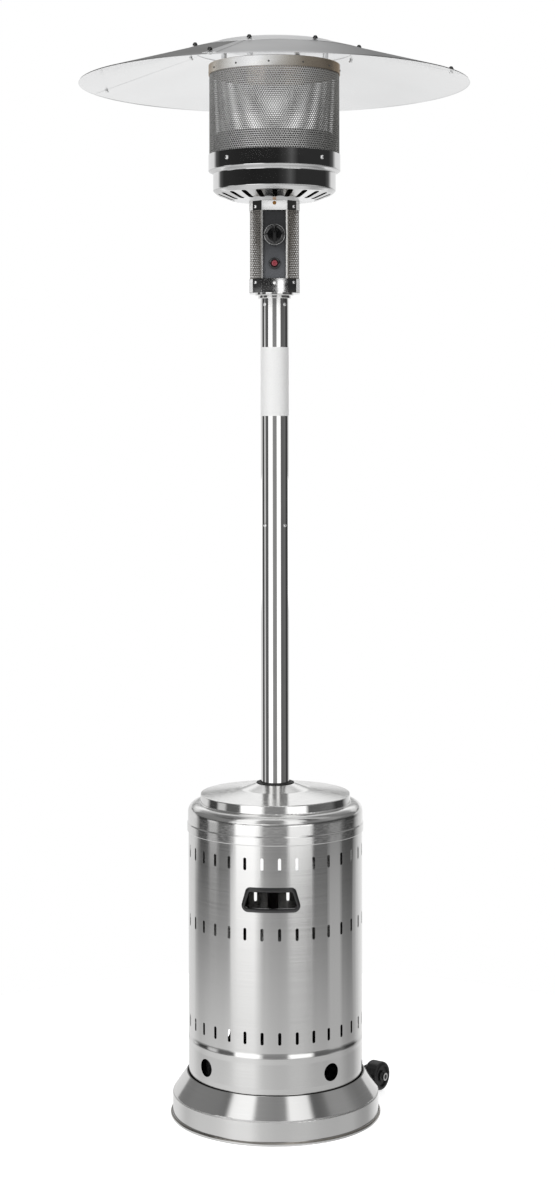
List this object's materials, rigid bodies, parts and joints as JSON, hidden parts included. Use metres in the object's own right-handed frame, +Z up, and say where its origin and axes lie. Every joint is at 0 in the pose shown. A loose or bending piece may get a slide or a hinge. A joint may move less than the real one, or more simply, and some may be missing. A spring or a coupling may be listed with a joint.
{
  "type": "radiant heater",
  "caption": "Free-standing gas patio heater with a round base, lift-up cylinder housing, pole, control head, mesh emitter and a wide shallow reflector.",
  "frame": {"origin": "on the floor, on the pole axis", "axes": "+Z up, -Y towards the control panel, +X to the right seen from the front"},
  "size_m": [0.8374, 0.8374, 2.2889],
  "materials": {
    "brushed_stainless": "brushed",
    "polished_stainless": "polished",
    "coated_steel": "satin",
    "polished_aluminium": "polished",
    "brass": "machined",
    "black_plastic": "satin",
    "red_plastic": "gloss",
    "white_plastic": "satin",
    "black_rubber": "matt",
    "label_film": "smooth"
  },
  "bodies": {
    "frame": {"base_cover": "brushed_stainless", "base_plate": "coated_steel", "support_leg_1": "coated_steel", "support_leg_2": "coated_steel", "support_leg_3": "coated_steel", "leg_bolts": "coated_steel", "post_flange": "coated_steel", "pole_lower": "brushed_stainless", "pole_upper": "brushed_stainless", "pole_coupler": "coated_steel", "pole_label": "label_film", "wheel_bracket": "coated_steel", "bracket_bolts": "coated_steel", "wheel_axle": "coated_steel", "axle_nuts": "polished_stainless", "control_collar": "brushed_stainless", "pole_screws": "polished_stainless", "pole_top_screws": "polished_stainless", "control_bottom_cap": "polished_stainless", "control_top_cap": "polished_stainless", "control_guard": "brushed_stainless", "control_panel": "black_plastic", "sight_plug": "brass", "control_screws": "polished_stainless", "gas_valve": "brass", "valve_inlet": "brass", "gas_outlet": "brass", "igniter_body": "white_plastic", "igniter_ring": "black_plastic", "tilt_switch": "black_plastic", "burner_bowl": "polished_stainless", "burner_screen": "brushed_stainless", "bowl_screws": "polished_stainless", "screen_top": "brushed_stainless", "mixer_tube": "coated_steel", "burner_head": "coated_steel", "burner_cup": "brushed_stainless", "pilot_burner": "brass", "thermocouple": "brass", "electrode": "white_plastic", "reflector_panel_1": "polished_aluminium", "reflector_panel_2": "polished_aluminium", "reflector_panel_3": "polished_aluminium", "reflector_panel_4": "polished_aluminium", "reflector_cap": "polished_aluminium", "cap_nuts": "polished_stainless", "seam_nuts": "polished_stainless", "reflector_studs": "polished_stainless", "stud_nuts": "polished_stainless"},
    "housing": {"housing_shell": "brushed_stainless", "housing_lid": "brushed_stainless", "handle_front": "black_plastic", "handle_rear": "black_plastic", "pole_grommet": "black_rubber"},
    "stem_slider": {"stem_collar": "brass"},
    "knob": {"control_knob": "black_plastic", "valve_stem": "brass"},
    "igniter": {"igniter_button": "red_plastic"},
    "wheel_r": {"wheel_right": "black_plastic"},
    "wheel_l": {"wheel_left": "black_plastic"}
  },
  "joints": [
    {"name": "housing_lift", "type": "slide", "parent": "frame", "child": "housing", "axis": [0, 0, 1], "range_m": [0, 0.53]},
    {"name": "knob_push", "type": "slide", "parent": "frame", "child": "stem_slider", "axis": [0, 1, 0], "range_m": [0, 0.004], "stiffness_N_per_m": 600},
    {"name": "knob_turn", "type": "hinge", "parent": "stem_slider", "child": "knob", "pos_m": [0, -0.06, 1.8765], "axis": [0, -1, 0], "range_deg": [0, 180]},
    {"name": "igniter_press", "type": "slide", "parent": "frame", "child": "igniter", "axis": [0, 1, 0], "range_m": [0, 0.005], "stiffness_N_per_m": 800},
    {"name": "right_wheel_spin", "type": "hinge", "parent": "frame", "child": "wheel_r", "pos_m": [0.22285, 0.13695, 0.0355], "axis": [0.8192, -0.5736, 0], "continuous": true},
    {"name": "left_wheel_spin", "type": "hinge", "parent": "frame", "child": "wheel_l", "pos_m": [0.05247, 0.25625, 0.0355], "axis": [0.8192, -0.5736, 0], "continuous": true}
  ]
}
